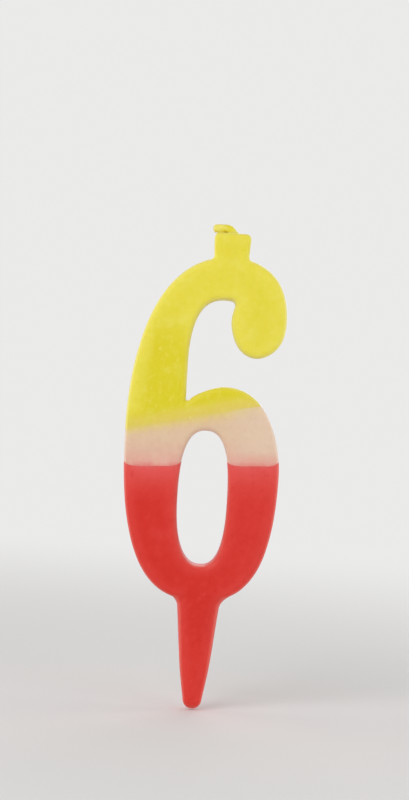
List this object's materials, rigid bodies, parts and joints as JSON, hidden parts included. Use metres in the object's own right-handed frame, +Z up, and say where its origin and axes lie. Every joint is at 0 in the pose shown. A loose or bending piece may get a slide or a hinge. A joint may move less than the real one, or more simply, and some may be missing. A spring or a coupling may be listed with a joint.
{
  "type": "number birthday candle",
  "caption": "Moulded wax candle shaped as the numeral six, dipped yellow above and red below a white band, with a wick on its crown and a tapered spike for a cake.",
  "frame": {"origin": "on the cake spike's axis at the cake line, where the numeral's bowl meets the top of the cake, halfway through the thickness", "axes": "+Z up along the numeral's height to the wick, +X to the right when the numeral is seen from the front, -Y out of the front face and +Y out of the back"},
  "size_m": [0.036, 0.009, 0.1123],
  "materials": {
    "white_wax": "satin paraffin wax, slightly translucent",
    "yellow_wax": "satin dyed paraffin wax",
    "red_wax": "satin dyed paraffin wax",
    "cotton": "braided cotton soaked in wax"
  },
  "bodies": {
    "candle": {"wax_moulding": "white_wax", "yellow_dip_coat": "yellow_wax", "red_dip_coat": "red_wax", "wick": "cotton"},
    "wick_tip": {"wick_tip": "cotton", "wick_tip_wax": "yellow_wax"}
  },
  "joints": [
    {"name": "wick_raise", "type": "hinge", "parent": "candle", "child": "wick_tip", "pos_m": [0.0026, 0, 0.08595], "axis": [0, 1, 0], "range_deg": [0, 90]}
  ]
}
